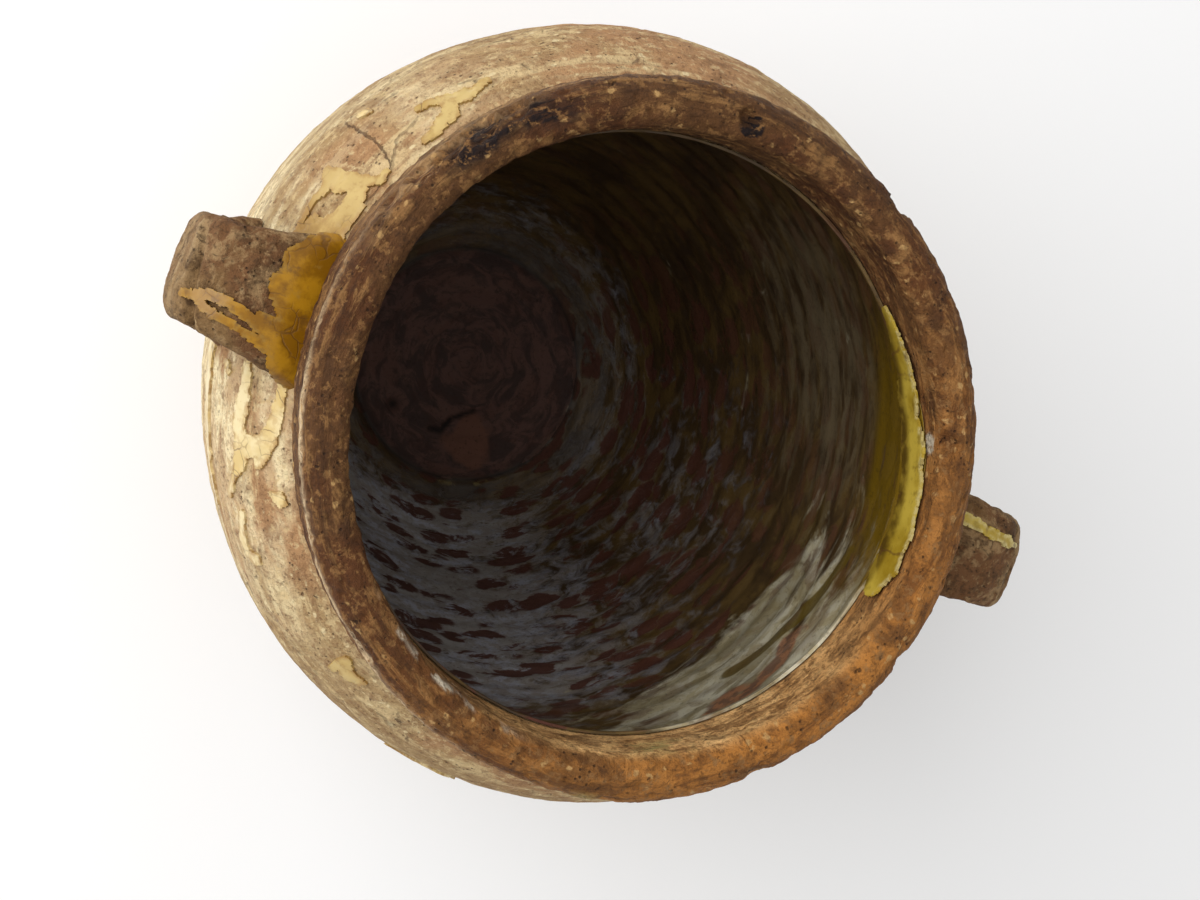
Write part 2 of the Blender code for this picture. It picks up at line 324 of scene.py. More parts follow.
def clay(name, look):
    p = Paint(name)
    moved = p.stretch((1, 1, 1), look["shift"])
    broad = p.cloud(look["broad"], 4, 0.55, moved)
    smear = p.cloud(look["smear"], 6, 0.68, drawnOut(p, look, 3.4), 0.5)
    wheel = p.cloud(16, 5, 0.6, drawnOut(p, look, 26))
    mottle = p.cloud(110, 7, 0.7, moved)
    crust = p.cloud(300, 6, 0.7, moved)
    grain = p.cloud(900, 3, 0.6)
    colour = p.mix(p.band(broad, 0.44, 0.57), look["base"], look["red"])
    colour = p.over(colour, look["pale"], p.band(smear, 0.49, 0.6), 0.8)
    colour = p.over(colour, look["dark"], p.band(wheel, 0.52, 0.66), look["rings"])
    for layerName, shade, strength in look["layers"]:
        broken = p.plus(0.3, p.times(p.band(smear, 0.4, 0.56), 0.7))
        broken = p.times(p.band(crust, 0.3, 0.5), broken)
        colour = p.over(colour, shade, p.times(p.layer(layerName), broken), strength)
    colour = p.over(colour, look["dark"], p.band(mottle, 0.5, 0.62), look["stained"])
    colour = p.over(colour, look["pale"], p.band(crust, 0.47, 0.36), 0.65)
    colour = p.over(colour, look["dark"], p.band(crust, 0.53, 0.64), look["specks"])
    colour = p.over(colour, look["hole"], p.band(grain, 0.56, 0.7), 0.4)
    flecks = p.band(p.cells(210, wandering(p, moved, 300, 0.004)), 0.26, 0.14)
    colour = p.over(colour, look["fleck"], p.times(flecks, p.band(smear, 0.47, 0.55)), 0.75)
    small = p.band(p.cells(420, moved), 0.22, 0.08)
    large = p.band(p.cells(170, wandering(p, moved, 400, 0.004)), 0.14, 0.06)
    holes = p.times(p.larger(small, large), p.band(mottle, 0.47, 0.56))
    colour = p.over(colour, look["hole"], holes, 0.7)
    net = p.band(p.cells(look["cracking"], wandering(p, moved, 45, 0.02), True), 0.025, 0.005)
    lines = p.times(net, p.times(p.band(smear, 0.54, 0.62), look["cracks"]))
    if look["split"]:
        # one long crack where its distance passes zero
        uneven = p.times(p.minus(mottle, 0.5), 0.006)
        far = p.math("ABSOLUTE", p.plus(p.layer("split"), uneven))
        lines = p.larger(lines, p.times(p.band(far, 0.0005, 0.0002), p.layer("splitReach")))
    colour = p.over(colour, look["hole"], lines, 0.8)
    height = p.plus(p.times(mottle, 1.2), p.minus(p.times(crust, 0.9), p.times(lines, 0.6)))
    height = p.plus(height, p.plus(p.times(grain, 0.25), p.times(smear, look["flaking"])))
    height = p.minus(height, p.times(holes, 0.6))
    return p.finish(colour, look["roughness"], height, 0.0022, 0.85, 0, 0.2)


# thrown body
wallSpec = {
    "steps": 480,
    "lowRows": 54,
    "highRows": 96,
    "lowTop": 0.12,
    "footEdge": 0.003,
    "bareFoot": 0.004,
    "undulation": 0.0009,
    "dents": 0.0004,
    "grit": 0.00024,
    "wheelLines": 0.00022,
    "pitSize": 0.0048,
    "pitShare": 0.3,
    "pitDepth": 0.0005,
    "base": tone(170, 140, 97),
    "red": tone(176, 134, 93),
    "pale": tone(214, 188, 140),
    "dark": tone(130, 94, 62),
    "hole": tone(76, 52, 34),
    "fleck": tone(228, 208, 162),
    "broad": 13,
    "smear": 30,
    "cracking": 34,
    "cracks": 0.6,
    "split": True,
    "flaking": 0.8,
    "shift": (0, 0, 0),
    "across": False,
    "rings": 0.35,
    "stained": 0.48,
    "specks": 0.58,
    "roughness": 0.85,
    # the cream layer is pale skin mixed with a painted highlight on the lit left side
    "layers": [("creamSkinAndPaintedLight", tone(242, 224, 180), 0.9), ("soil", tone(96, 70, 46), 0.6)],
}


def wallRelief(point):
    s = wallSpec
    if point.z < s["bareFoot"]:
        return 0
    sway = noise.noise(point * 15) * s["undulation"] + noise.noise(point * 41 + Vector((5, 1, 3))) * s["dents"]
    rough = noise.fractal(point * 170, 1, 2, 4) * s["grit"]
    line = noise.noise(Vector((point.x * 8, point.y * 8, point.z * 210))) * s["wheelLines"]
    return sway + rough + line - pits(point, s["pitSize"], s["pitShare"]) * s["pitDepth"]


edge = wallSpec["footEdge"]
profile = [(0, 0)] + [(r, 0) for r in between(0.012, wallRadius(edge) - edge, 6)]
profile += arc(wallRadius(edge) - edge, edge, edge, -75, -15, 4)
profile += [(wallRadius(z), z) for z in between(edge, wallSpec["lowTop"], wallSpec["lowRows"])]
profile += [(wallRadius(z), z) for z in between(wallSpec["lowTop"] + 0.001, pot["seat"], wallSpec["highRows"])]
profile += [(insideRadius(z, pot["wall"]), z) for z in between(pot["seat"], pot["corner"], 20)]
profile += cornerCurve(pot["wall"], pot["floor"], 10)[::-1]
profile += [(r, pot["floor"]) for r in between(pot["disc"], 0, 3)]
potWall = lathe("potWall", profile, wallSpec["steps"])


def outsideRelief(point):
    # only the outside is seen: the lining covers the inside
    if point.z > 0.006 and fromAxis(point) < insideRadius(point.z, pot["wall"] * 0.6):
        return 0
    return wallRelief(point)


roughen(potWall, outsideRelief)
potWall.data.transform(squeezeMatrix)


def creamSkinAndPaintedLight(c):
    # pale skin in patches on the left, the side shown lightest, with a painted highlight that lightens the left
    # flank and shoulder further
    bent = c * 20 + Vector((noise.noise(c * 34), noise.noise(c * 34 + Vector((7, 0, 0))), 0)) * 0.7
    skin = 0.5 + 0.5 * noise.fractal(Vector((bent.x, bent.y, c.z * 48)), 0.9, 2, 4)
    paintedLight = toward(c, 203, 32) * bump(c.z, 0.188, 0.055)
    paintedLight += 0.6 * toward(c, 170, 20) * bump(c.z, 0.215, 0.05)
    return smooth(0.4, 0.58, skin + 0.18 * paintedLight) * toward(c, 182, 72) * (1 + 0.7 * paintedLight)


def split(c):
    # signed distance to the crack that climbs the left shoulder and turns along the rim
    corner, turnRadius = (0.0152, 0.0314), 0.014
    way = math.radians(azimuth(c) - 150) * 0.115
    climb = c.z - 0.218 + 0.1234 - fromAxis(c)
    qx, qy = corner[0] - way, climb - corner[1]
    return math.hypot(max(qx, 0), max(qy, 0)) + min(max(qx, qy), 0) - turnRadius


paint(potWall, "creamSkinAndPaintedLight", creamSkinAndPaintedLight)
paint(potWall, "soil", lambda c: smooth(0.09, 0.0, c.z) * 0.8)
paint(potWall, "split", split)
paint(potWall, "splitReach", lambda c: smooth(0.212, 0.220, c.z) * toward(c, 153, 9))
place(potWall, ["pot_body"], clay("buffClay", wallSpec))
print("body thrown")

# rim band
rimSpec = {
    "steps": 720,
    "radius": 0.105,
    "mouth": 0.091,
    "outerRound": 0.007,
    "innerRound": 0.006,
    "lowerRound": 0.004,
    "base": tone(100, 66, 36),
    "red": tone(92, 55, 28),
    "pale": tone(154, 112, 66),
    "dark": tone(58, 36, 21),
    "hole": tone(44, 28, 17),
    "fleck": tone(196, 156, 100),
    "broad": 22,
    "smear": 58,
    "cracking": 60,
    "cracks": 0.35,
    "split": False,
    "flaking": 2.2,
    "shift": (3, 1, 2),
    "across": True,
    "rings": 0.45,
    "stained": 0.42,
    "specks": 0.42,
    "roughness": 0.72,
    "sway": 0.0009,
    "dents": 0.00025,
    "grit": 0.0004,
    "pitSize": 0.0042,
    "pitShare": 0.35,
    "pitDepth": 0.0006,
    # the worn layer here is a pale worn line with a painted highlight on the lit left side
    "layers": [("warm", tone(186, 122, 54), 0.9), ("worn", tone(214, 186, 146), 1.0),
               ("rubbedInside", tone(230, 182, 120), 0.95), ("chipped", tone(172, 136, 92), 0.9),
               ("scorch", tone(28, 18, 18), 0.95), ("bare", tone(214, 200, 176), 1.0),
               ("smear", tone(168, 150, 92), 0.85)],
}
# chips in the rim: azimuth, radius, height, size, depth
rimChips = [
    (94, 0.0975, 0.275, 0.0032, 0.0022),
    (19, 0.0925, 0.274, 0.0045, 0.0016),
    (134, 0.1045, 0.271, 0.006, 0.0022),
    (140, 0.1045, 0.27, 0.007, 0.0024),
    (146, 0.105, 0.27, 0.006, 0.0026),
    (151, 0.105, 0.269, 0.007, 0.0022),
    (158, 0.105, 0.269, 0.005, 0.0016),
    (-52, 0.104, 0.272, 0.005, 0.0012),
    (-20, 0.104, 0.272, 0.004, 0.001),
    (62, 0.105, 0.27, 0.005, 0.0014),
    (-128, 0.1045, 0.271, 0.004, 0.001),
]


chipPlaces = [(ringPoint(a, r, z), size, depth) for a, r, z, size, depth in rimChips]


def lipReach(c):
    # 1 where the lining runs up over the inner face of the rim, at the far side
    a = (azimuth(c) + 180) % 360 - 180
    return smooth(50, 14, a) * smooth(-14, -4, a)


def rimRelief(point):
    s = rimSpec
    across = fromAxis(point)
    shown = 1
    if across < 0.0925 and point.z < 0.268:
        bareFace = smooth(0.249, 0.256, point.z) * (1 - lipReach(point))
        shown = max(smooth(0.0912, 0.0925, across), bareFace)
    sway = noise.noise(point * 21 + Vector((2, 8, 4))) * s["sway"]
    sway += tatter(point * 95) * s["dents"]
    rough = tatter(point * 260, 4) * s["grit"]
    hollow = pits(point, s["pitSize"], s["pitShare"]) * s["pitDepth"]
    for centre, size, depth in chipPlaces:
        far = (point - centre).length / size + noise.noise(point * 420) * 0.25
        if far < 1:
            hollow += depth * smooth(1, 0.72, far)
    return (sway + rough - hollow) * shown


def rimProfile():
    s = rimSpec
    under, top = pot["seat"] + 0.0003, pot["top"]
    outer, inner, lower = s["outerRound"], s["innerRound"], s["lowerRound"]
    points = [(s["mouth"], z) for z in between(under, top - inner, 16)]
    points += arc(s["mouth"] + inner, top - inner, inner, 176, 92, 20)
    points += arc(s["radius"] - outer, top - outer, outer, 88, 2, 24)
    points += [(s["radius"], z) for z in between(top - outer - 0.0006, under + lower, 24)]
    points += arc(s["radius"] - lower, under + lower, lower, -6, -88, 12)
    points += [(x, under) for x in between(s["radius"] - lower - 0.0008, s["mouth"], 5)]
    return points


rim = lathe("rim", rimProfile(), rimSpec["steps"])
paint(rim, "across", lambda c: fromAxis(c) - c.z)
roughen(rim, rimRelief)


def scorch(c):
    # soot in two long patches and one round one
    a = azimuth(c)
    across = fromAxis(c) + 0.002 * tatter(c * 130)
    if (c - ringPoint(93, 0.0955, 0.275)).length < 0.0036:
        return 2
    first = bump(a, 129, 9) * bump(across, 0.0992, 0.0055)
    second = bump(a, 141, 11) * bump(across, 0.1002, 0.0055)
    return 2 * max(first, second)


def worn(c):
    # pale worn line along the outer edge, with a painted highlight that makes it strongest on the lit left side
    line = bump(c.z + 0.001 * noise.noise(c * 60), 0.2685, 0.0032)
    left = 0.1 + 0.9 * toward(c, 215, 60)
    return 1.5 * smooth(0.1022, 0.1032, fromAxis(c)) * line * left


def rubbedInside(c):
    # light bare clay on the inner slope of the near side
    inner = smooth(0.0955, 0.0925, fromAxis(c)) * smooth(0.274, 0.268, c.z)
    return inner * toward(c, 296, 70) * (1.3 + 0.8 * tatter(c * 90))


def bare(c):
    # a white chip by the crescent and flecks along the near inner edge
    chip = smooth(0.0036, 0.0024, (c - ringPoint(19, 0.091, 0.2655)).length)
    line = bump(fromAxis(c), 0.0925, 0.0014) * toward(c, 244, 22)
    return max(1.6 * chip, 2 * line * smooth(0.5, 0.6, 0.5 + 0.5 * tatter(c * 140)))


def smear(c):
    # a greenish wash of glaze on the near inner slope, and one drop at the outer edge
    patchy = smooth(0.42, 0.52, 0.5 + 0.5 * tatter(c * 110, 4))
    across = fromAxis(c)
    wash = toward(c, 292, 13) * smooth(0.0945, 0.092, across) * bump(c.z, 0.265, 0.009)
    drop = toward(c, 277, 4) * smooth(0.1015, 0.104, across) * smooth(0.266, 0.27, c.z)
    return 1.4 * patchy * wash + drop


def chipped(c):
    # bare clay where the outer edge broke away
    across = fromAxis(c) + 0.0022 * tatter(c * 150, 4)
    return smooth(0.1022, 0.1028, across) * toward(c, 146, 30)


paint(rim, "warm", lambda c: toward(c, -40, 110))
for layer in (worn, chipped, scorch, rubbedInside, bare, smear):
    paint(rim, layer.__name__, layer)
rim.data.transform(squeezeMatrix)
place(rim, ["rim_band"], clay("rimClay", rimSpec))
print("rim turned")

# strap handles
strapSpec = {
    "width": 0.030,
    "thickness": 0.010,
    "leftRoot": 0.048,
    "rightRoot": 0.039,
    "lowerWidth": 0.048,
    "rootThickness": 0.014,
    "rootDepth": 0.014,
    "upper": 0.240,
    "lower": 0.207,
    "rise": 0.028,
    "reach": 0.144,
    "squareness": 2.8,
    "flare": 2.2,
    "offset": 0.0025,
    "lumps": 0.0016,
    "grit": 0.0005,
    "groove": 0.0022,
    "grooveAt": 0.37,
    "pitSize": 0.0046,
    "pitShare": 0.4,
    "pitDepth": 0.0007,
    "base": tone(128, 98, 62),
    "red": tone(116, 80, 50),
    "pale": tone(162, 132, 92),
    "dark": tone(76, 54, 34),
    "hole": tone(44, 30, 18),
    "fleck": tone(172, 144, 104),
    "broad": 30,
    "smear": 50,
    "cracking": 60,
    "cracks": 0.5,
    "split": False,
    "flaking": 1.5,
    "shift": (6, 2, 9),
    "across": False,
    "rings": 0,
    "stained": 0.6,
    "specks": 0.7,
    "roughness": 0.85,
    "layers": [("worn", tone(176, 150, 112), 0.5)],
}


def strapLine(share):
    s = strapSpec
    start = (wallRadius(s["upper"]) - s["rootDepth"], s["upper"])
    stop = (wallRadius(s["lower"]) - s["rootDepth"], s["lower"])
    pull = (s["reach"] - s["thickness"] / 2 - (start[0] + stop[0]) / 8) * 4 / 3
    knots = [Vector(start), Vector((pull, s["upper"] + s["rise"])), Vector((pull, s["lower"])), Vector(stop)]
    k = 1 - share
    early = knots[0] * k ** 3 + knots[1] * 3 * k * k * share
    return early + knots[2] * 3 * k * share ** 2 + knots[3] * share ** 3


def strapPoint(side, share, angle, lift=0.0, fill=1.0):
    # a place on the strap: share along it, angle round its section (0 is one edge, 90 the outer face)
    s = strapSpec
    here = strapLine(share)
    ahead = (strapLine(min(1, share + 0.002)) - strapLine(max(0, share - 0.002))).normalized()
    outward = Vector((-ahead.y, ahead.x))
    grow = abs(2 * share - 1) ** s["flare"]
    rootWidth = s["lowerWidth"] if share > 0.5 else s["leftRoot"] if side < 0 else s["rightRoot"]
    width = s["width"] + (rootWidth - s["width"]) * grow
    thick = s["thickness"] + (s["rootThickness"] - s["thickness"]) * grow
    t = math.radians(angle)
    power = 2 / s["squareness"]
    across = math.copysign(abs(math.cos(t)) ** power, math.cos(t)) * (width / 2 + lift) * fill
    up = math.copysign(abs(math.sin(t)) ** power, math.sin(t)) * (thick / 2 + lift) * fill
    spot = here + outward * up
    return squeezeMatrix @ Vector((side * spot.x, side * across + s["offset"], spot.y))


def strapRelief(point, share, angle):
    s = strapSpec
    lump = noise.noise(point * 55) * s["lumps"] + noise.fractal(point * 190, 1, 2, 4) * s["grit"]
    across = math.cos(math.radians(angle))
    way = share + 0.025 * across + noise.noise(point * 130) * 0.012
    groove = bump(way, s["grooveAt"], 0.026) * smooth(-0.97, -0.6, across)
    return lump - groove * s["groove"] - pits(point, s["pitSize"], s["pitShare"]) * s["pitDepth"]


def strapHandle(name, side):
    # a closed tube of unit height, laid along the strap's line
    ends = (0, 0.35, 0.7)
    outline = [(x, 0) for x in ends] + [(1, z) for z in between(0, 1, 150)] + [(x, 1) for x in ends[::-1]]
    tube = lathe(name, outline, 112)
    for vertex in tube.data.vertices:
        share = vertex.co.z
        angle = math.degrees(math.atan2(vertex.co.y, vertex.co.x))
        fill = min(1, fromAxis(vertex.co))
        plain = strapPoint(side, share, angle, 0, fill)
        vertex.co = strapPoint(side, share, angle, strapRelief(plain, share, angle) * fill, fill)
    switch("EDIT")
    bpy.ops.mesh.select_all(action="SELECT")
    bpy.ops.mesh.normals_make_consistent(inside=False)
    switch("OBJECT")
    return tube


def trimmed(obj):
    # cuts the roots to the outside of the wall and the rim
    gap, low, high = 0.0002, 0.15, 0.29
    side = rimSpec["radius"] + gap
    outline = [(0, low)] + [(wallRadius(z) + gap, z) for z in between(low, pot["seat"], 60)]
    outline += [(side, pot["seat"] + 0.003), (side, high), (0, high)]
    cutter = lathe("cutter", outline, 240)
    cutter.data.transform(squeezeMatrix)
    choose(obj)
    cut = obj.modifiers.new("cut", "BOOLEAN")
    cut.object = cutter
    cut.solver = "EXACT"
    bpy.ops.object.modifier_apply(modifier="cut")
    bpy.data.objects.remove(cutter)


strapClay = clay("strapClay", strapSpec)
for name, side, node in (("strapLeft", -1, "handle_left"), ("strapRight", 1, "handle_right")):
    strap = strapHandle(name, side)
    trimmed(strap)
    paint(strap, "worn", lambda c: smooth(0.134, 0.143, abs(c.x)))
    choose(strap)
    bpy.ops.object.shade_smooth_by_angle(angle=math.radians(50))
    place(strap, [node], strapClay)
print("straps joined")

# glaze lining of the inside
liningSpec = {
    "steps": 360,
    "depth": 0.0094,
    "back": 0.0083,
    "floor": 0.0134,
    "lipTop": 0.2655,
    "gap": 0.0003,
    "pitch": 0.0095,
    "ridge": 0.00042,
    "edgeRing": 0.0475,
    "deepest": 0.0009,
}


def liningProfile():
    s = liningSpec
    under, lip = pot["floor"] + s["gap"], rimSpec["mouth"]
    wallTop = pot["seat"] - 0.001
    front = [(r, s["floor"]) for r in between(0, pot["disc"], 40)] + cornerCurve(s["depth"], s["floor"], 30)
    front += [(insideRadius(z, s["depth"]), z) for z in between(pot["corner"], wallTop, 140)]
    for z in between(pot["seat"], s["lipTop"], 14):
        front.append((lip - 0.0011 + 0.0007 * smooth(0.255, s["lipTop"], z), z))
    back = [(lip - s["gap"], z) for z in between(s["lipTop"], pot["seat"], 3)]
    back += [(insideRadius(z, s["back"]), z) for z in between(wallTop, pot["corner"], 14)]
    back += cornerCurve(s["back"], under, 6)[::-1] + [(r, under) for r in (pot["disc"], 0)]
    return front + back


lining = lathe("lining", liningProfile(), liningSpec["steps"])
cornerRadius = insideRadius(pot["corner"], liningSpec["depth"])


def along(c):
    across = fromAxis(c) if c.z < pot["corner"] else cornerRadius
    return across + c.z - liningSpec["floor"]


def isFront(c):
    across = fromAxis(c)
    if c.z < pot["floor"] + 0.0008:
        return False
    if c.z >= pot["seat"]:
        return across < rimSpec["mouth"] - 0.0006
    if c.z > pot["corner"]:
        return across < insideRadius(c.z, liningSpec["depth"] - 0.0003)
    return True


floorCrack = [(ringPoint(a, r, liningSpec["floor"]), 0) for a, r in
              ((257.4, 0.0312), (266.8, 0.0297), (271.8, 0.0235), (284, 0.0209), (297.6, 0.0194))]
floorPit = ringPoint(226, 0.036, liningSpec["floor"])
floorPatch = ringPoint(289.8, 0.032, liningSpec["floor"])
floorDot = ringPoint(331, 0.056, liningSpec["floor"])


def fromLine(stroke, c):
    # distance to a row of points, each with its own radius
    best = 1.0
    for (a, ra), (b, rb) in zip(stroke, stroke[1:]):
        line = b - a
        t = min(1, max(0, (c - a).dot(line) / line.length_squared))
        best = min(best, (c - a - line * t).length - (ra + (rb - ra) * t))
    return best


def onFloor(c):
    return Vector((c.x, c.y, liningSpec["floor"]))


def crack(c):
    if c.z > 0.016:
        return 0
    return bump(fromLine(floorCrack, onFloor(c)) + noise.noise(c * 300) * 0.0005, 0, 0.0018)


def pit(c):
    if c.z > 0.02:
        return 0
    return bump((onFloor(c) - floorPit).length, 0, 0.0042) + bump((onFloor(c) - floorDot).length, 0, 0.003)


def liningRelief(c):
    if not isFront(c):
        return 0
    way = along(c)
    angle = math.atan2(c.y, c.x) / (2 * math.pi)
    phase = way / liningSpec["pitch"] + angle + noise.noise(c * 16) * 0.25
    ridge = math.sin(2 * math.pi * phase) * (0.55 + 0.6 * noise.noise(c * 13 + Vector((4, 4, 1))))
    ridge += 0.3 * math.sin(2 * math.pi * (phase * 3)) * (0.4 + noise.noise(c * 25))
    level = smooth(0.052, 0.042, way)
    height = ridge * liningSpec["ridge"] * smooth(0.006, 0.02, way)
    height *= (0.45 + 0.55 * smooth(0.25, 0.16, c.z)) * (1 - 0.85 * level)
    height -= 0.0012 * bump(way, liningSpec["edgeRing"], 0.003) + 0.0012 * crack(c) + 0.0016 * pit(c)
    height += noise.fractal(c * 120, 1, 2, 3) * 0.0003 + noise.noise(c * 30) * 0.0005
    # the floor of the lining never dips through its own back
    height = max(height, -liningSpec["deepest"])
    return height * (1 if c.z < pot["seat"] - 0.002 else 0.35)


roughen(lining, liningRelief)
for vertex in lining.data.vertices:
    above = vertex.co.z - pot["seat"]
    if above > 0:
        ragged = 0.05 + 0.9 * lipReach(vertex.co) + 0.05 * noise.noise(vertex.co * 90)
        vertex.co.z = pot["seat"] + above * ragged
paint(lining, "along", along)


def thickFilm(c):
    # mineral film, thick on the near lower wall and thin round the foot of the wall
    way = along(c)
    near = toward(c, 266, 90) * smooth(0.045, 0.075, way) * smooth(0.27, 0.17, way)
    foot = 0.36 * bump(way, 0.072, 0.035)
    right = 0.4 * toward(c, 340, 75) * bump(way, 0.13, 0.10)
    return max(near, foot, right)


def oliveLip(c):
    # clean glaze under the crescent
    wide = smooth(0.165, 0.215, c.z) * toward(c, 10, 46)
    return wide + smooth(0.172, 0.184, c.z) * toward(c, 14, 32)


def bareLip(c):
    # a strip that lost its glaze, low on the near right
    level = bump(c.z + 0.005 * noise.noise(c * 60), 0.185, 0.013)
    return level * smooth(23, 10, turned(azimuth(c), 322)) * (0.8 + 0.6 * tatter(c * 90))


def oliveRun(c):
    # one long run of glaze through the pale film
    slant = c.z - 0.181 + (353 - azimuth(c)) * 0.00043
    return bump(slant + 0.002 * noise.noise(c * 50), 0, 0.0055) * smooth(20, 13, turned(azimuth(c), 338))


def marks(c):
    return min(1, crack(c) + pit(c) + 0.8 * bump(along(c), liningSpec["edgeRing"], 0.0022))


paint(lining, "thickFilm", thickFilm)
paint(lining, "filmReach", lambda c: thickFilm(c) ** 0.6)
paint(lining, "ringFilm", lambda c: toward(c, 30, 80) * bump(along(c), 0.21, 0.1))
paint(lining, "bandFilm", lambda c: toward(c, 326, 64) * smooth(0.198, 0.226, along(c)))
paint(lining, "lip", oliveLip)
paint(lining, "bareLip", bareLip)
paint(lining, "run", oliveRun)
paint(lining, "disc", lambda c: smooth(0.0485, 0.0455, along(c)))
paint(lining, "clear", lambda c: toward(c, 95, 80))
paint(lining, "marks", marks)
paint(lining, "patch", lambda c: bump((c - floorPatch).length + tatter(c * 110) * 0.004, 0, 0.019))
paint(lining, "yellow", lambda c: toward(c, 289, 26) * bump(along(c), 0.0495, 0.0025))
lining.data.transform(squeezeMatrix)

liningLook = {
    "brown": tone(72, 55, 34),
    "olive": tone(102, 80, 44),
    "web": tone(58, 43, 32),
    "disc": tone(122, 90, 82),
    "discDark": tone(70, 56, 52),
    "filmBlue": tone(204, 208, 222),
    "filmGrey": tone(190, 188, 186),
    "filmDull": tone(174, 168, 164),
    "filmThin": tone(116, 102, 78),
    "filmPale": tone(210, 204, 180),
    "filmSand": tone(184, 172, 138),
    "run": tone(98, 80, 28),
    "worn": tone(92, 52, 40),
    "bare": tone(160, 108, 76),
    "bareDark": tone(112, 78, 62),
    "patch": tone(140, 96, 76),
    "yellow": tone(160, 142, 84),
    "mark": tone(18, 12, 10),
    "lip": tone(116, 90, 20),
    "grain": tone(36, 26, 18),
}


def liningPaint(look):
    p = Paint("oliveGlaze")
    parts = p.add("ShaderNodeSeparateXYZ", {0: p.here})
    way = p.layer("along")

    def drawn(wide, tall):
        # coordinates drawn out along the throwing rings
        inputs = {0: p.times(parts.outputs[0], wide), 1: p.times(parts.outputs[1], wide), 2: p.times(way, tall)}
        return p.add("ShaderNodeCombineXYZ", inputs).outputs[0]

    streak = p.cloud(1, 7, 0.66, drawn(42, 92), 0.7)
    lines = p.cloud(1, 6, 0.66, drawn(34, 210), 0.3)
    web = p.cloud(1, 7, 0.68, drawn(84, 130), 0.9)
    fine = p.cloud(1, 5, 0.65, drawn(190, 300))
    inputs = {0: drawn(62, 118), 1: p.cloud(1, 4, 0.6, drawn(70, 130))}
    holes = p.cells(1, p.add("ShaderNodeVectorMath", inputs, operation="ADD").outputs[0])
    grain = p.cloud(700, 3, 0.6)
    disc, ringed, banded = p.layer("disc"), p.layer("ringFilm"), p.layer("bandFilm")
    colour = p.mix(p.band(streak, 0.4, 0.6), look["brown"], look["olive"])
    colour = p.over(colour, look["web"], p.band(web, 0.5, 0.64), 0.6)
    colour = p.over(colour, look["disc"], disc, 0.85)
    colour = p.over(colour, look["discDark"], disc, p.times(p.band(web, 0.42, 0.58), 0.8))
    # mineral film that follows the rings
    reach = p.plus(p.times(web, 0.7), p.times(fine, 0.35))
    thick = p.band(p.plus(reach, p.times(p.layer("filmReach"), 0.36)), 0.66, 0.85)
    reach = p.plus(p.times(lines, 0.75), p.plus(p.times(streak, 0.4), p.times(ringed, 0.3)))
    thin = p.band(reach, 0.74, 0.9)
    reach = p.plus(p.times(p.cloud(1, 6, 0.6, drawn(26, 58), 1.2), 0.9), p.times(lines, 0.2))
    broad = p.band(p.plus(reach, p.times(banded, 0.34)), 0.7, 0.84)
    film = p.mix(p.band(streak, 0.42, 0.56), look["filmBlue"], look["filmGrey"])
    film = p.mix(p.band(fine, 0.4, 0.6), film, look["filmDull"])
    colour = p.over(colour, film, thick, p.plus(0.1, p.times(p.layer("thickFilm"), 0.82)))
    colour = p.over(colour, look["filmThin"], thin, p.times(ringed, 0.9))
    colour = p.over(colour, p.mix(p.band(web, 0.4, 0.6), look["filmPale"], look["filmSand"]), broad, 0.9)
    runs = p.times(p.band(p.cloud(1, 4, 0.55, drawn(16, 84), 0.8), 0.51, 0.56), banded)
    runs = p.larger(p.times(runs, 0.6), p.band(p.layer("run"), 0.3, 0.5))
    colour = p.over(colour, look["run"], runs, 0.9)
    # worn through to the red clay
    spots = p.times(p.band(holes, 0.54, 0.42), p.band(streak, 0.43, 0.5))
    kept = p.larger(p.times(p.layer("clear"), 0.85), p.times(p.larger(banded, ringed), 0.8))
    worn = p.times(spots, p.minus(1.0, p.larger(kept, p.times(disc, 0.8))))
    colour = p.over(colour, look["worn"], worn, 0.92)
    bare = p.mix(p.band(fine, 0.45, 0.55), look["bare"], look["bareDark"])
    colour = p.over(colour, bare, p.band(p.layer("bareLip"), 0.4, 0.6), 0.85)
    colour = p.over(colour, look["patch"], p.band(p.layer("patch"), 0.3, 0.6), 0.7)
    colour = p.over(colour, look["yellow"], p.layer("yellow"), p.band(web, 0.45, 0.55))
    colour = p.over(colour, look["mark"], p.layer("marks"), 0.92)
    clean = p.math("MINIMUM", 1.0, p.times(p.layer("lip"), p.band(lines, 0.34, 0.5)))
    colour = p.mix(clean, colour, look["lip"])
    colour = p.over(colour, look["grain"], p.band(grain, 0.55, 0.7), 0.35)
    height = p.plus(p.times(fine, 0.5), p.times(thick, 0.4))
    ridges = p.times(lines, p.minus(0.3, p.times(disc, 0.3)))
    height = p.plus(height, p.minus(ridges, p.times(worn, 0.4)))
    dull = p.larger(thick, p.larger(disc, worn))
    rough = p.add("ShaderNodeMapRange", {"Value": dull, "To Min": 0.36, "To Max": 0.72}).outputs[0]
    return p.finish(colour, rough, height, 0.0009, 0.45, 0, 0.3)


place(lining, ["inside_glaze"], liningPaint(liningLook))
print("inside glazed")

# islands of glaze
glazeSpec = {"grid": 0.00042, "thick": 0.0009, "sink": 0.0001, "ragged": 0.0007, "chips": 0.0005}


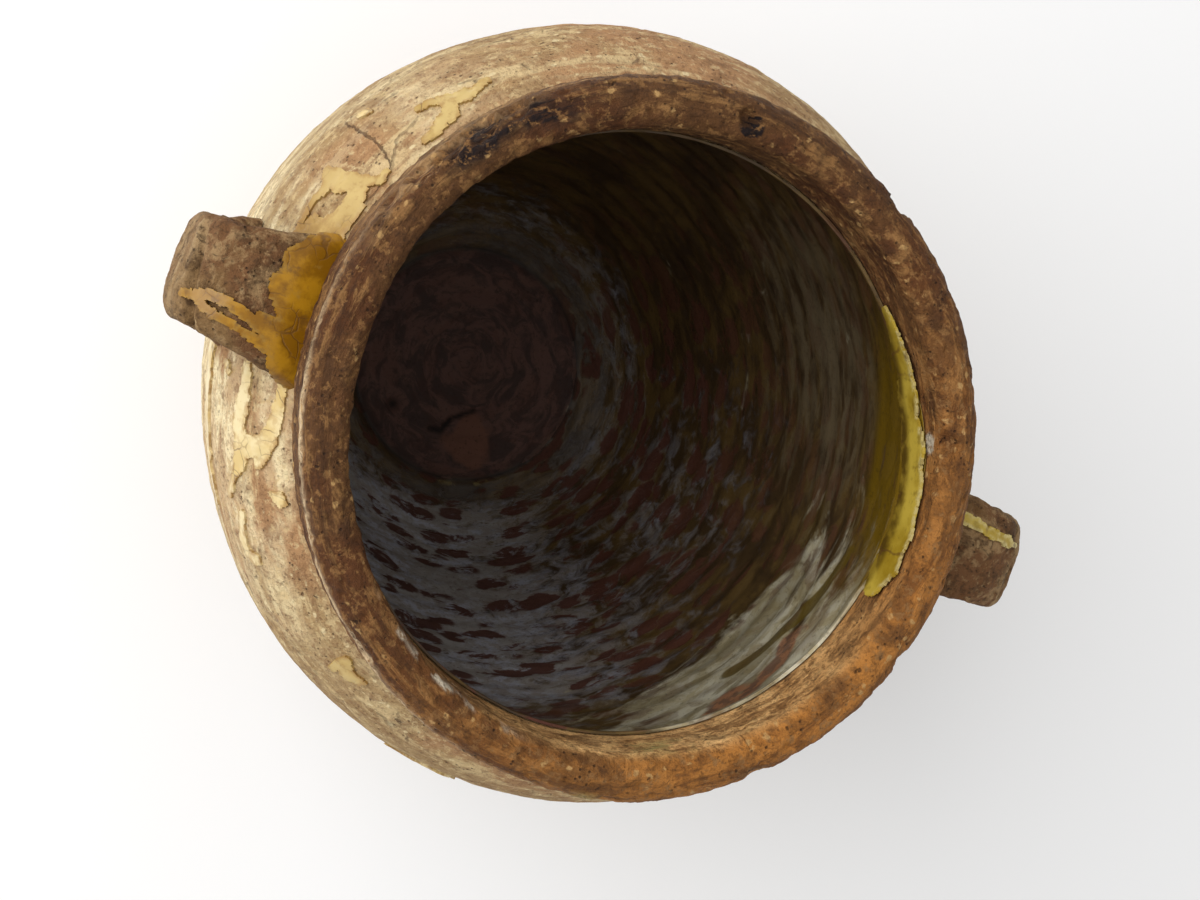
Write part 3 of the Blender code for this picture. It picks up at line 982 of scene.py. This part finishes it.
def glazePaint(name, look):
    p = Paint(name)
    broad = p.cloud(60, 4, 0.55)
    fine = p.cloud(260, 5, 0.6)
    cracks = p.cells(look["crackle"], wandering(p, p.here, 130, 0.004), True)
    pool = p.layer("pool")
    colour = p.mix(p.band(broad, 0.38, 0.62), look["pale"], look["deep"])
    colour = p.over(colour, look["gold"], pool, 0.75)
    colour = p.over(colour, look["amber"], pool, p.band(p.cloud(120, 5, 0.6), 0.36, 0.56))
    # a band just inside each island's outline: painted shade mixed with dirt where its colour is darker, painted
    # highlight where it is paler, as on the crescent
    colour = p.over(colour, look["rubbed"], p.layer("edge"), p.times(p.band(fine, 0.42, 0.56), 0.8))
    colour = p.over(colour, look["stain"], p.band(fine, 0.53, 0.68), 0.5)
    line = p.times(p.band(cracks, 0.035, 0.008), p.band(broad, 0.4, 0.6))
    colour = p.over(colour, look["crack"], line, 0.6)
    height = p.minus(p.times(fine, 0.6), p.times(line, 0.5))
    return p.finish(colour, look["roughness"], height, 0.0005, 0.4, look["coat"], 0.3)


yellowLook = {
    "pale": tone(190, 164, 104),
    "deep": tone(170, 138, 72),
    "gold": tone(164, 116, 12),
    "amber": tone(112, 72, 6),
    "stain": tone(152, 116, 62),
    # darker edge colour: painted shade at the broken edges, mixed with dirt
    "rubbed": tone(158, 122, 68),
    "crack": tone(90, 60, 32),
    "crackle": 150,
    "roughness": 0.42,
    "coat": 0.05,
}
lipLook = dict(yellowLook, pale=tone(188, 162, 62), deep=tone(152, 124, 32), gold=tone(114, 90, 24))
# pale edge colour: a painted highlight along the crescent's upper edge
lipLook.update(amber=tone(84, 64, 18), stain=tone(108, 84, 26), rubbed=tone(206, 190, 130))
lipLook.update(crackle=60, roughness=0.34, coat=0.2)
# amber glaze of the left strap; its gold and amber are lightened as painted light against the rim's shadow on the
# strap's root
amberLook = dict(yellowLook, pale=tone(140, 102, 36), deep=tone(112, 78, 26), gold=tone(184, 132, 14))
amberLook.update(amber=tone(134, 90, 8), stain=tone(92, 60, 32), rubbed=tone(158, 120, 48))
amberLook.update(roughness=0.3, coat=0.2)
creamLook = dict(yellowLook, pale=tone(218, 200, 154), deep=tone(202, 174, 112), stain=tone(176, 142, 90))
yellowGlaze = glazePaint("yellowGlaze", yellowLook)
lipGlaze = glazePaint("lipGlaze", lipLook)
amberGlaze = glazePaint("amberGlaze", amberLook)
creamGlaze = glazePaint("creamGlaze", creamLook)


def strokeField(strokes, point, seed):
    # below zero inside the painted strokes; a ragged edge
    best = min(fromLine(stroke, point) for stroke in strokes)
    jag = noise.fractal(point * 210 + Vector((seed, 0, 0)), 0.8, 2.2, 4)
    bite = noise.fractal(point * 640 + Vector((0, seed, 0)), 0.8, 2.2, 3)
    return best - 0.0005 + jag * glazeSpec["ragged"] + bite * glazeSpec["chips"]


def glazeIsland(name, surface, strokes, seed, pool=None):
    # a fine sheet over the surface, cut along the strokes' outline and thickened
    drawn = [[(surface(u, v), r / 1000) for u, v, r in stroke] for stroke in strokes]
    allU, allV, radii = zip(*[spot for stroke in strokes for spot in stroke])
    lowU, highU, lowV, highV = min(allU), max(allU), min(allV), max(allV)
    widest = max(radii) / 1000 + 0.003
    middle = ((lowU + highU) / 2, (lowV + highV) / 2)
    stepU, stepV = (highU - lowU) / 4, (highV - lowV) / 4
    unitU = (surface(middle[0] + stepU, middle[1]) - surface(*middle)).length / stepU
    unitV = (surface(middle[0], middle[1] + stepV) - surface(*middle)).length / stepV
    padU, padV = widest / unitU, widest / unitV
    lowU, highU, lowV, highV = lowU - padU, highU + padU, lowV - padV, highV + padV
    countU = max(6, int((highU - lowU) * unitU / glazeSpec["grid"]))
    countV = max(6, int((highV - lowV) * unitV / glazeSpec["grid"]))
    startClear()
    bpy.ops.mesh.primitive_grid_add(x_subdivisions=countU, y_subdivisions=countV, size=2)
    obj = bpy.context.object
    obj.name = obj.data.name = name
    field = {}
    for vertex in obj.data.vertices:
        u = lowU + (vertex.co.x + 1) / 2 * (highU - lowU)
        v = lowV + (vertex.co.y + 1) / 2 * (highV - lowV)
        vertex.co = surface(u, v)
        field[vertex.index] = strokeField(drawn, vertex.co, seed)
    sheet = bmesh.new()
    sheet.from_mesh(obj.data)
    sheet.verts.ensure_lookup_table()
    outer = [f for f in sheet.faces if all(field[v.index] > 0 for v in f.verts)]
    bmesh.ops.delete(sheet, geom=outer, context="FACES")
    # the outer row of vertices is drawn in to the outline
    for vertex in list(sheet.verts):
        if field[vertex.index] <= 0:
            continue
        inner = [e.other_vert(vertex) for e in vertex.link_edges if field[e.other_vert(vertex).index] <= 0]
        if inner:
            mate = min(inner, key=lambda n: field[n.index])
            high, low = field[vertex.index], field[mate.index]
            vertex.co = vertex.co + (mate.co - vertex.co) * min(0.92, high / (high - low))
    loose = [v for v in sheet.verts if not v.link_faces]
    bmesh.ops.delete(sheet, geom=loose, context="VERTS")
    bmesh.ops.recalc_face_normals(sheet, faces=sheet.faces)
    sheet.to_mesh(obj.data)
    sheet.free()
    face = max(obj.data.polygons, key=lambda q: q.area)
    facing = face.normal.dot(face.center - Vector((0, 0, face.center.z)))
    if surface is strapTop:
        wrong = face.normal.z < 0 and facing < 0
    else:
        wrong = facing > 0 if surface is lipPoint else facing < 0
    if wrong:
        obj.data.flip_normals()
    # band along the outline that carries the painted edge shade and dirt, and on the crescent the painted highlight
    paint(obj, "edge", lambda c: smooth(-0.0014, 0, strokeField(drawn, c, seed)))
    paint(obj, "pool", pool or (lambda c: 0.0))
    choose(obj)
    shell = obj.modifiers.new("shell", "SOLIDIFY")
    shell.thickness = glazeSpec["thick"]
    shell.offset = 1
    shell.use_even_offset = False
    bpy.ops.object.modifier_apply(modifier="shell")
    bpy.ops.object.shade_smooth_by_angle(angle=math.radians(40))
    return obj


def onWall(angle, height):
    z = height / 1000
    base = ringPoint(angle, wallRadius(z), z)
    outward = ringPoint(angle, 1, -wallSlope(z)).normalized()
    return squeezeMatrix @ (base + outward * (wallRelief(base) - glazeSpec["sink"]))


def lipPoint(angle, way):
    # millimetres from the foot of the rim's inner face, over the lip
    mouth, bend = rimSpec["mouth"], rimSpec["innerRound"]
    faceTop = pot["top"] - bend
    face = (faceTop - pot["seat"]) * 1000
    if way < face:
        return squeezeMatrix @ ringPoint(angle, mouth - 0.0011, pot["seat"] + way / 1000)
    turnBy, reach = (way - face) / 1000 / bend, bend + 0.0006
    radius = mouth + bend - reach * math.cos(turnBy)
    return squeezeMatrix @ ringPoint(angle, radius, faceTop + reach * math.sin(turnBy))


def strapTop(share, angle):
    return strapPoint(strapSide, share, angle, 0.0006)


def amberPool(c):
    # the glaze thickens towards the left strap
    return 0.1 + 0.8 * smooth(160, 173, azimuth(c))


# each stroke is a row of azimuth, height in mm, half width in mm
shoulderStrokes = [
    [(158.8, 228.7, 1), (159.5, 231.7, 2.2), (159.2, 236.4, 2.6), (158.2, 239.6, 2.5),
     (157.1, 242.4, 1.6), (155.4, 245.1, 0.6), (153.4, 244.8, 0.3)],
    [(158.8, 242.4, 2.6), (161.1, 243.6, 3.2), (164, 243.4, 3.4), (166.4, 242.9, 3.4),
     (168.2, 243.5, 4.4), (169.1, 246.2, 3.6)],
    [(159.5, 232.6, 1.8), (161.6, 233.2, 1.2), (163.3, 232, 0.6), (165.4, 232.2, 0.3),
     (167.8, 232.8, 0.3), (168.7, 233, 0.5)],
    [(166.5, 242.5, 5), (169.1, 242, 5), (171.9, 242, 5), (174.8, 242, 5),
     (177.6, 242.5, 5), (180.4, 243, 4.4), (182.8, 243, 3.4), (185.5, 243.6, 1.6)],
    [(167, 237, 3), (169.4, 234.8, 2.3), (171.3, 234.8, 1.7)],
]
backStrokes = [
    [(132.1, 238.4, 0.6), (133.8, 239.2, 1.3), (136.4, 239.8, 1.9), (138.4, 239.2, 2),
     (140.2, 236.9, 1.2), (141.6, 235.7, 1), (143.3, 235.6, 0.4)],
    [(138.8, 239.5, 1.9), (140, 243, 1.9), (142, 243.8, 1.6), (143.9, 244.9, 1.7), (145.4, 245.1, 1.2)],
]
flankStrokes = [
    [(187.4, 232.4, 0.6), (189.8, 231.8, 1.2), (192.4, 232.2, 1.9), (195.4, 231.1, 2.3), (198.1, 229.5, 2.2),
     (200.6, 231, 3), (203.3, 229.1, 2), (205.7, 225.1, 1), (208.1, 221.8, 0.4)],
    [(188.1, 244.7, 0.7), (190.3, 244.8, 1), (193.1, 244, 1.3), (196.3, 243.2, 1.6),
     (198.8, 241.5, 2.5), (200.9, 239.2, 2.8), (203.1, 237.1, 1.4)],
    [(200.6, 231.5, 3), (200.9, 238.5, 2.6)],
]
frontStrokes = [
    [(236.4, 235.9, 0.9), (236.1, 240.9, 1.6), (237.8, 238.8, 2.2), (239.6, 240, 1.6), (240.7, 241.3, 0.4)],
]
islandList = [
    ("glazeShoulder", "glaze_shoulder_left", shoulderStrokes, 1, amberPool, yellowGlaze),
    ("glazeBack", "glaze_shoulder_back", backStrokes, 2, None, yellowGlaze),
    ("glazeFlank", "glaze_flank_left", flankStrokes, 3, None, creamGlaze),
    ("glazeFront", "glaze_flank_front", frontStrokes, 4, None, yellowGlaze),
]
for name, node, strokes, seed, pool, paintwork in islandList:
    place(glazeIsland(name, onWall, strokes, seed, pool), [node], paintwork)


# small flakes: those that the photo shows, then scattered ones on the sides it hides
flakeStrokes = [
    [[(190.1, 221.1, 1.3), (190.9, 222.4, 0.6)]],
    [[(208.4, 242.8, 1.5), (207.8, 241, 0.7)]],
    [[(211.1, 226.5, 0.7), (213.3, 224.4, 1.2), (215.2, 223.6, 1.3), (216.8, 223.9, 1.4),
      (217.7, 228, 0.9)]],
    [[(149.2, 221, 1), (148.2, 222.8, 0.5)]],
    [[(183, 205, 3), (190, 200, 4), (197, 199, 3.6), (204, 201, 2.6),
      (210, 203, 1.2)]],
]
rng = random.Random(11)
while len(flakeStrokes) < 16:
    angle, z = rng.uniform(-112, 118), rng.uniform(120, 238)
    if turned(angle, 0) < 20 and z > 185:
        continue
    island = []
    for branch in range(rng.randint(2, 3)):
        turnBy, climb = rng.uniform(-2, 3), rng.uniform(-5, 5)
        sizes = [rng.uniform(0.2, 0.8), rng.uniform(1, 3.2), rng.uniform(0.8, 2.6), rng.uniform(0.1, 0.6)]
        stroke = []
        for i, size in enumerate(sizes):
            spot = angle + turnBy * i + rng.uniform(-0.6, 0.6)
            stroke.append((spot, z + climb * i + rng.uniform(-1.5, 1.5), size))
        island.append(stroke)
    flakeStrokes.append(island)
flakes = [glazeIsland("flake", onWall, strokes, 20 + i) for i, strokes in enumerate(flakeStrokes)]
choose(flakes[0])
for flake in flakes:
    flake.select_set(True)
bpy.ops.object.join()
flakes[0].name = flakes[0].data.name = "glazeFlakes"
place(flakes[0], [], creamGlaze)

# azimuth, mm up the rim's inner face, half width in mm
lipStrokes = [
    [(45, 4.6, 1), (40, 5.4, 2.6), (35, 5.2, 4.2), (31, 6.2, 4.4), (27, 5.6, 5.6), (23, 6.8, 4.8),
     (17.7, 8.2, 6.2), (13, 9.6, 5.4), (10, 10.6, 6.4), (4, 10.4, 5.6), (1, 11.2, 6.8), (-2, 10, 6.4),
     (-7.5, 9.4, 6.2), (-10, 8.6, 4.6), (-12, 7.6, 2.2)],
    [(20, 13.2, 1.4), (17, 14.4, 1.2), (15, 14, 0.6)],
    [(-4, 15.4, 1.6), (-7, 16.4, 1.0)],
]


def aboveMiddle(c):
    # how far a spot lies above the crescent's middle line
    spots = [(angle, way) for angle, way, r in lipStrokes[0]]
    angle = max(spots[-1][0], min(spots[0][0], (azimuth(c) + 180) % 360 - 180))
    for (a, wayA), (b, wayB) in zip(spots, spots[1:]):
        if b <= angle <= a:
            return c.z - pot["seat"] - (wayA + (wayB - wayA) * (a - angle) / (a - b)) / 1000
    return 0


crescent = glazeIsland("glazeLip", lipPoint, lipStrokes, 5, lambda c: smooth(0, -0.005, aboveMiddle(c)))
# the crescent's painted highlight along its edge is kept to its upper side
edges = crescent.data.attributes["edge"].data
for spot, vertex in zip(edges, crescent.data.vertices):
    spot.value *= smooth(0, 0.003, aboveMiddle(vertex.co))
place(crescent, ["lip_glaze"], lipGlaze)
print("glaze islands laid")

# share along the strap, angle round it, half width in mm
strapSide = -1
leftStrokes = [
    [(0.38, 70, 0.4), (0.34, 74, 0.8), (0.29, 79, 1.1), (0.23, 78, 0.9), (0.17, 74, 1.3), (0.12, 68, 2.2)],
    [(0.32, 70, 0.5), (0.28, 64, 0.7), (0.22, 62, 0.5), (0.16, 58, 0.7), (0.11, 52, 1.2)],
    [(0.05, 26, 2.4), (0.06, 36, 3.6), (0.08, 50, 5), (0.08, 66, 5), (0.07, 84, 4.6),
     (0.075, 100, 4.4), (0.055, 118, 3.2), (0.05, 150, 2.4)],
    [(0.06, 146, 3.6), (0.09, 132, 4.4), (0.125, 120, 3.4), (0.1, 108, 4), (0.145, 97, 2.4),
     (0.11, 88, 3.6)],
    [(0.08, 58, 4), (0.12, 70, 3.6), (0.16, 76, 2)],
    [(0.06, 96, 2.4), (0.1, 100, 1.6)],
]
# the glaze pools towards the rim, and there its gold share is also painted light against the rim's shadow
leftRun = glazeIsland("glazeStrapLeft", strapTop, leftStrokes, 6, lambda c: 0.3 + 0.7 * smooth(-0.132, -0.122, c.x))
place(leftRun, ["glaze_handle_left"], amberGlaze)
strapSide = 1
rightStrokes = [[(0.05, 62, 0.8), (0.1, 66, 1.2), (0.17, 68, 1.0), (0.24, 70, 0.9), (0.31, 72, 0.4)]]
rightRun = glazeIsland("glazeStrapRight", strapTop, rightStrokes, 7)
place(rightRun, ["glaze_handle_right"], lipGlaze)
print("glaze laid on the straps")

# camera at the photo's angle
cameraSpec = {
    "place": (-0.18514, 0.01465, 0.78734),
    "aim": (-0.01755, -0.00562, 0.275),
    "roll": math.radians(115.96),
    "lens": 56.59,
    "sensor": 36,
}
camera = bpy.data.objects.new("camera", bpy.data.cameras.new("camera"))
scene = bpy.context.scene
scene.collection.objects.link(camera)
camera.location = cameraSpec["place"]
look = (Vector(cameraSpec["aim"]) - camera.location).to_track_quat("-Z", "Y").to_matrix().to_4x4()
roll = Matrix.Rotation(cameraSpec["roll"], 4, "Z")
camera.matrix_world = Matrix.Translation(camera.location) @ look @ roll
camera.data.lens = cameraSpec["lens"]
camera.data.sensor_width = cameraSpec["sensor"]
scene.camera = camera

# pale floor and soft studio light
startClear()
bpy.ops.mesh.primitive_circle_add(vertices=96, radius=4, fill_type="NGON")
floor = bpy.context.object
floor.name = "floor"
floorPaint = Paint("floorPaint")
paper = floorPaint.mix(floorPaint.cloud(3, 2, 0.5), tone(249, 249, 249), tone(252, 252, 252))
floor.data.materials.append(floorPaint.finish(paper, 0.9))
floor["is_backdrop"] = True

lightSpec = {"azimuth": 168, "height": 36, "far": 1.6, "size": 1.9, "power": 26, "aim": 0.2, "world": 0.66}


def softLight(name, s):
    lamp = bpy.data.objects.new(name, bpy.data.lights.new(name, "AREA"))
    scene.collection.objects.link(lamp)
    h = math.radians(s["height"])
    aim = Vector((0, 0, s["aim"]))
    lamp.location = aim + ringPoint(s["azimuth"], math.cos(h), math.sin(h)) * s["far"]
    lamp.rotation_euler = (aim - lamp.location).to_track_quat("-Z", "Y").to_euler()
    lamp.data.shape = "DISK"
    lamp.data.size = s["size"]
    lamp.data.energy = s["power"]


softLight("keyLight", lightSpec)
world = bpy.data.worlds.new("studio")
scene.world = world
world.use_nodes = True
sky = world.node_tree.nodes["Background"]
sky.inputs["Color"].default_value = (1, 1, 1, 1)
sky.inputs["Strength"].default_value = lightSpec["world"]
scene.view_settings.view_transform = "Standard"
print("stage lit")

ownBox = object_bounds()
sizes = {"cad": [list(c) for c in cadBox], "visual": [list(c) for c in ownBox]}
